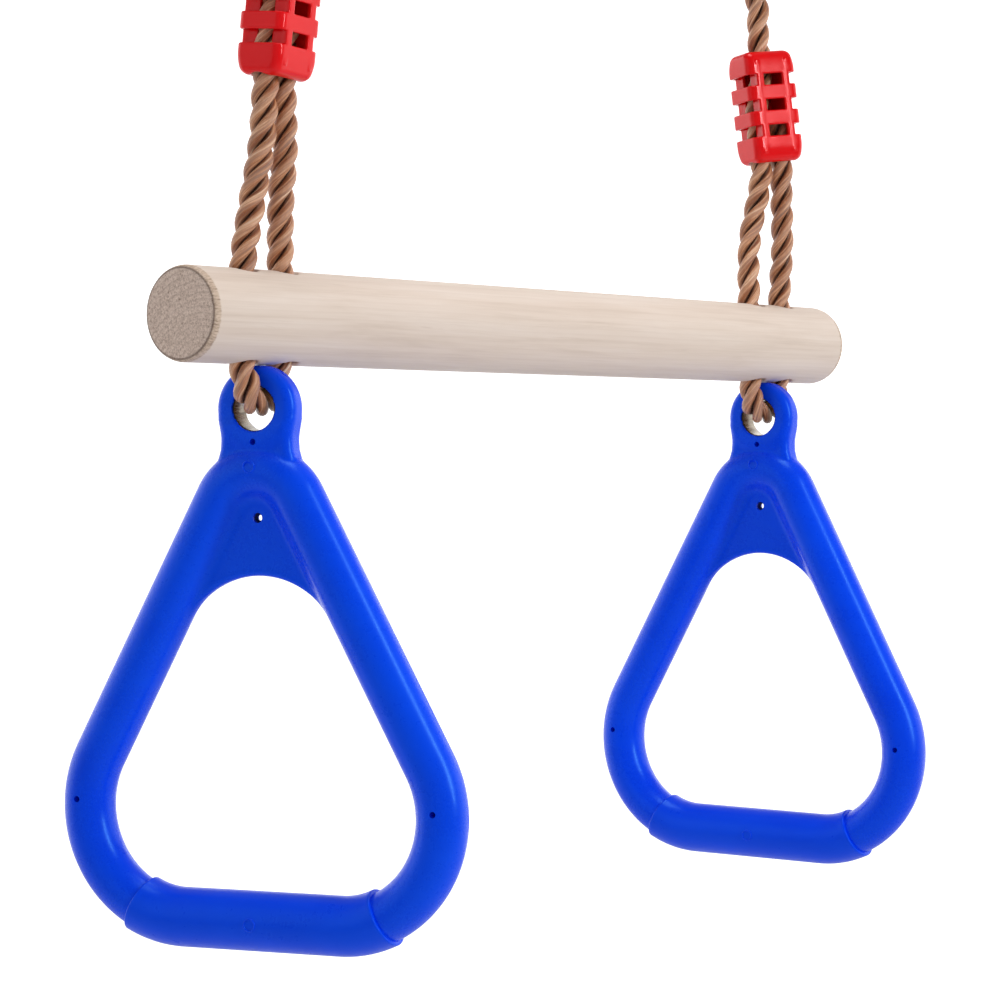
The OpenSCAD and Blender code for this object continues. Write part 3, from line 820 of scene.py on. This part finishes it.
def make_rings():
    rv, rf = nets(ring_field, (-84.4, -201, -11.6), (84.4, 18.2, 11.6), 0.8, 5)
    local = add_mesh("ring_local", rv, rf)
    holes = [(0, -40.1, -12, 12, 1.9), (0, -12.2, 2, 8, 1.2), (0, -12.2, -8, -2, 1.2)]
    holes += [(x, -145.6, 4.65, 14, 1.2) for x in (-72.9, 72.9)] + [(x, -145.6, -14, -4.65, 1.2) for x in (-72.9, 72.9)]
    drill(local, holes)
    me = local.data
    co = np.array([v.co for v in me.vertices], float) / MM
    polys = [tuple(p.vertices) for p in me.polygons]
    bpy.data.objects.remove(local)
    sv, sf = sweep_sleeve()
    prof = [(8.1, 4.2), (8.14, 4.48), (8.28, 4.62), (8.6, 4.66), (8.95, 4.66)]
    prof = prof + [(r, -z) for r, z in reversed(prof)]
    bv, bf = lathe_verts(prof, 96)
    bf = bf[:, ::-1]
    for side, s in SIDES:
        m = ring_matrix(side, s)
        me = bpy.data.meshes.new("ring_" + side)
        me.from_pydata((place(co, m) * MM).tolist(), [], polys)
        me.polygons.foreach_set("use_smooth", [True] * len(me.polygons))
        ob = bpy.data.objects.new("gym_ring_" + side, me)
        scene.collection.objects.link(ob)
        keep_sharp(ob.data, co, holes)
        dress(ob, BLUE, "blue_plastic", "ring_" + side, "ring_body_" + side)
        ob = add_mesh("gym_ring_sleeve_" + side, place(sv, m), sf)
        ob.data.set_sharp_from_angle(angle=math.radians(60))
        dress(ob, GRIP, "blue_grip", "ring_" + side, "grip_sleeve_" + side)
        ob = add_mesh("gym_ring_bush_" + side, place(bv, m), bf)
        ob.data.set_sharp_from_angle(angle=math.radians(50))
        dress(ob, BUSH, "bush_steel", "ring_" + side, "eye_bush_" + side)
        # A dark ring between the lip of the eye and the lining
        for f in (-1, 1):
            gv, gf = lathe_verts([(8.2, f * 4.6), (8.46, f * 4.72), (8.9, f * 4.7), (8.9, f * 4.58), (8.3, f * 4.5)][::f], 96)
            dress(add_mesh("eye_gap_%s_%s" % (side, "a" if f < 0 else "b"), place(gv, m), gf[:, ::-1]), DARK, "bush_steel", "ring_" + side)
        # The web's pin hole narrows halfway through; the dark blue lining inside it is painted shade
        gv, gf = lathe_verts([(1.05, 0.4), (1.8, 0.55), (1.8, 1.2), (2.1, 1.2), (2.1, -1.2), (1.8, -1.2), (1.8, -0.55), (1.05, -0.4)], 48)
        dress(add_mesh("web_pin_hole_shade_" + side, place(gv + np.array([0, -40.1, 0]), m), gf[:, ::-1]), PIN_SHADE, "blue_plastic", "ring_" + side)
        # Small round moulding marks on the arch and on the sleeve, both faces
        for f in (-1, 1):
            tv, tf = torus_patch(0, -21.2, f * (TUBE - 0.02), 2.2, 0.28)
            dress(add_mesh("mould_mark_top_%s_%s" % (side, "a" if f < 0 else "b"), place(tv, m), tf), BLUE, "blue_plastic", "ring_" + side)
            tv, tf = torus_patch(0, BOTTOM, f * 11.08, 2.2, 0.28)
            dress(add_mesh("mould_mark_grip_%s_%s" % (side, "a" if f < 0 else "b"), place(tv, m), tf), GRIP, "blue_grip", "ring_" + side)


make_rings()


# ---------------------------------------------------------------- wooden bar
def bar_field(p):
    x, y, z = p[:, 0], p[:, 1], p[:, 2]
    r = length2(y, z)
    # The left end stands a little proud of the nominal length, and both edges are worn
    t = np.clip((np.abs(x + 1.4) - 208.6) / 2.8, 0, 1)
    d = slab(r - 17.5 + 0.8 * t * t, x + 1.4, 211.4, 0.6)
    for s in (-1, 1):
        for t in (-1, 1):
            d = smax(d, 6.3 - length2(x - s * PAIR - t * 11.2, y), 0.9)
    return d


def make_bar():
    v, f = nets(bar_field, (-215, -19, -19), (212, 19, 19), 0.9, 2)
    v[:, 2] -= DROP
    ob = add_mesh("bar", v, f)
    ob.data.set_sharp_from_angle(angle=math.radians(60))
    dress(ob, WOOD, "beech_bar", "bar", "wood_bar")


make_bar()


# ---------------------------------------------------------------- adjusters
def cage_field(p):
    x, y, z = p[:, 0], p[:, 1], p[:, 2] - 25.0
    s = np.clip((np.abs(z) - 16.5) / 8.5, 0, 1)
    # Caps draw in towards their ends
    outer = box2(x, y, 12.5 - 1.1 * s * s, 10.25 - 1.9 * s * s, 3.6)
    d = slab(outer, z, 25.0, 2.6)
    inner = slab(box2(x, y, 10.7, 8.25, 2.2), z, 23.0, 1.0)
    d = smax(d, -inner, 0.5)
    for w in range(3):
        zc = (11.5 + w * 11.5 + 2.5) - 25.0
        row = np.abs(z - zc) - 2.5
        side = np.maximum(row, 8.2 - np.abs(x))
        d = smax(d, -side, 0.7)
        d = smax(d, -np.maximum(row, np.abs(x) - 4.75), 0.7)
    # Recessed side walls behind the straps, open in the middle of one side where the rope shows
    gap = np.where(x > 0, -1.0, 3.3 - np.abs(y))
    wall = np.maximum(np.maximum(np.abs(np.abs(x) - 7.45) - 0.75, np.abs(z) - 21.0), np.maximum(gap, np.abs(y) - 10.0))
    d = smin(d, wall, 0.4)
    # Back of the cage, closed behind the rope
    d = smin(d, np.maximum(np.maximum(np.abs(y - 7.6) - 0.7, np.abs(z) - 21.0), np.abs(x) - 8.0), 0.4)
    d = smax(d, -np.maximum(length2(x, y) - 5.6, 18.0 - z), 0.8)
    slot = np.where(np.abs(x) < 5.2, np.abs(y), length2(np.abs(x) - 5.2, y)) - 5.4
    return smax(d, -np.maximum(slot, z + 18.0), 0.8)


def pose_matrix(foot, top, yaw):
    d = np.array(top, float) - np.array(foot, float)
    tilt_x = -math.degrees(math.atan2(d[1], d[2]))
    tilt_y = math.degrees(math.atan2(d[0], math.hypot(d[1], d[2])))
    return shift(*foot) @ rot("X", tilt_x) @ rot("Y", tilt_y) @ rot("Z", yaw)


def make_adjusters():
    v, f = nets(cage_field, (-13.6, -11.3, -1), (13.6, 11.3, 51), 0.4)
    for side, s in SIDES:
        if s < 0:
            m = pose_matrix((2.8, -3.7, 87.5), (5.4, -7.0, 137.5), 5)
        else:
            m = pose_matrix((1.5, -2.0, 81.5), (-2.2, 2.8, 131.5), -28)
        m = shift(s * PAIR, 0, -DROP) @ m
        ob = add_mesh("adjuster_cage_" + side, place(v, m), f)
        dress(ob, RED, "red_plastic", "adjuster_" + side, "adjuster_" + side)


make_adjusters()


# ---------------------------------------------------------------- top hardware
WIRE_Z = 216.6
HANG_R = (DROP + 3 - WIRE_Z) / 2


def thimble_field(p):
    x, y, z = p[:, 0], p[:, 1], p[:, 2]
    ya = np.abs(y)
    ang = np.degrees(np.arctan2(z - 212, ya))
    tn = math.radians(TH_N)
    px, pz = 16.4 * math.cos(tn), 212 + 16.4 * math.sin(tn)
    u_arc = length2(ya, z - 212) - 16.4
    u_leg = (ya - px) * math.cos(tn) + (z - pz) * math.sin(tn)
    u = np.where(ang >= TH_N, u_arc, u_leg)
    d = smax(-7.4 - u, u + 2.3, 1.2)
    d = smax(d, np.abs(x) - 6.3, 1.6)
    d = smax(d, 5.2 - length2(u, x), 0.6)
    return smax(d, 191.4 - z, 1.0)


def ferrule_field(p):
    x, y, z = p[:, 0], p[:, 1], p[:, 2] - 172.0
    oval = np.where(np.abs(y) < 5.3, np.abs(x), length2(np.abs(y) - 5.3, x))
    crimp = 0.0
    for c in (-5.2, 0.0, 5.2):
        crimp = crimp + 0.5 * np.exp(-((z - c) / 1.0) ** 2)
    d = slab(oval - 7.0 + crimp, z, 9.0, 1.0)
    return smax(d, 5.2 - oval, 0.5)


def make_top():
    tv, tf = nets(thimble_field, (-7.5, -16, 189), (7.5, 16, 228), 0.55)
    fv, ff = nets(ferrule_field, (-8, -14, 162), (8, 14, 182), 0.5)
    k, n = 28, 140
    th = np.linspace(0, 2 * np.pi, n, endpoint=False)
    ph = np.linspace(0, 2 * np.pi, k, endpoint=False)
    # Welded joint at the top of the ring
    bead = 0.28 * np.exp(-((np.degrees(th) - 118) / 4.0) ** 2)
    R = HANG_R
    r = 2.98 + np.zeros(n)
    r = r - 0.10 * np.exp(-((np.degrees(th) - 118) / 7.0) ** 2) + bead * 0.35
    hv = np.stack([(R + r[:, None] * np.cos(ph)) * np.cos(th)[:, None], r[:, None] * np.sin(ph) + 0 * th[:, None], (R + r[:, None] * np.cos(ph)) * np.sin(th)[:, None]], 2).reshape(-1, 3)
    i, j = np.meshgrid(np.arange(n), np.arange(k), indexing="ij")
    i, j = i.ravel(), j.ravel()
    i2, j2 = (i + 1) % n, (j + 1) % k
    hf = np.stack([i * k + j, i * k + j2, i2 * k + j2, i2 * k + j], 1)
    for side, s in SIDES:
        at = np.array([s * HANGER, 0, -DROP])
        dress(add_mesh("eye_thimble_" + side, tv + at, tf), BLACK, "thimble_plastic", "rope_tops", "thimble_" + side)
        dress(add_mesh("eye_ferrule_" + side, fv + at, ff), ALU, "ferrule_aluminium", "rope_tops", "ferrule_" + side)
        dress(add_mesh("steel_ring_" + side, hv + np.array([s * HANGER, 0, WIRE_Z + HANG_R - DROP]), hf), STEEL, "ring_steel", "hangers", "hanger_ring_" + side)


make_top()


# ---------------------------------------------------------------- studio
def make_stage():
    n = Nodes("glowing_stage")
    grain = n.noise(n.scaled(3, 3, 3), 1, 3, 0.5)
    c = n.ramp(grain, [(0.3, (0.5, 0.5, 0.505)), (0.7, (0.54, 0.54, 0.545))])
    n.value({"Roughness": 0.9, "Specular IOR Level": 0.1})
    n.bsdf.inputs["Emission Color"].default_value = (1, 1, 1, 1)
    sep = n.new("SeparateXYZ")
    n.link(n.tc.outputs["Object"], sep.inputs[0])
    far = n.math("SQRT", n.math("ADD", n.math("MULTIPLY", sep.outputs["X"], sep.outputs["X"]), n.math("MULTIPLY", sep.outputs["Y"], sep.outputs["Y"])))
    # The floor and wall glow: dim under the set, rising with distance to a bright glow behind the set and a faint one
    # in front of it
    ahead = n.math("ADD", n.math("MULTIPLY", sep.outputs["X"], float(FORWARD[0])), n.math("MULTIPLY", sep.outputs["Y"], float(FORWARD[1])))
    side = n.span(ahead, -1.2, 0.9, 0.14, 1.0, True)
    glow = n.math("ADD", 0.25, n.math("MULTIPLY", n.span(far, 0.9, 2.3, 0, 1, True), n.math("SUBTRACT", side, 0.25)))
    n.link(glow, n.bsdf.inputs["Emission Strength"])
    n.out(c)
    # A round floor that sweeps up into a wall all the way round
    prof = [(0.0, 0.0), (1.0, 0.0), (2.2, 0.0), (3.2, 0.0)]
    for a in np.linspace(0, math.pi / 2, 14)[1:]:
        prof.append((3.2 + 1.6 * math.sin(a), 1.6 * (1 - math.cos(a))))
    prof.append((4.8, 2.9))
    v, f = lathe_verts([(r * 1000, z * 1000) for r, z in prof], 96, False)
    v[:, 2] += -900
    ob = add_mesh("floor", v, f)
    ob.data.materials.append(n.mat)


def area_light(name, at, look, size, power, color=(1, 1, 1)):
    data = bpy.data.lights.new(name, "AREA")
    data.shape = "RECTANGLE"
    data.size, data.size_y = size
    data.energy = power
    data.color = color
    ob = bpy.data.objects.new(name, data)
    scene.collection.objects.link(ob)
    ob.location = at
    d = Vector(look) - Vector(at)
    ob.rotation_euler = d.to_track_quat("-Z", "Y").to_euler()
    ob.visible_camera = False
    return ob


def make_lights():
    mid = Vector((0, 0, -0.26))
    fw, right = Vector(FORWARD), Vector(RIGHT)
    up = Vector((0, 0, 1))
    area_light("key", mid - fw * 0.9 + right * 1.3 + up * 0.55, mid, (0.13, 1.1), 11)
    area_light("fill", mid - fw * 0.8 - right * 1.4 + up * 0.5, mid, (1.2, 1.4), 2.0)
    area_light("top", mid - fw * 0.1 + up * 1.6, mid, (0.9, 0.9), 12.5)
    area_light("rim", mid + fw * 1.3 + right * 0.7 + up * 0.7, mid, (1.0, 1.2), 2)
    w = bpy.data.worlds.new("studio")
    w.use_nodes = True
    w.node_tree.nodes["Background"].inputs["Color"].default_value = (1, 1, 1, 1)
    w.node_tree.nodes["Background"].inputs["Strength"].default_value = 0.3
    scene.world = w
    scene.view_settings.view_transform = "Standard"
    scene.view_settings.look = "None"


make_stage()
make_lights()
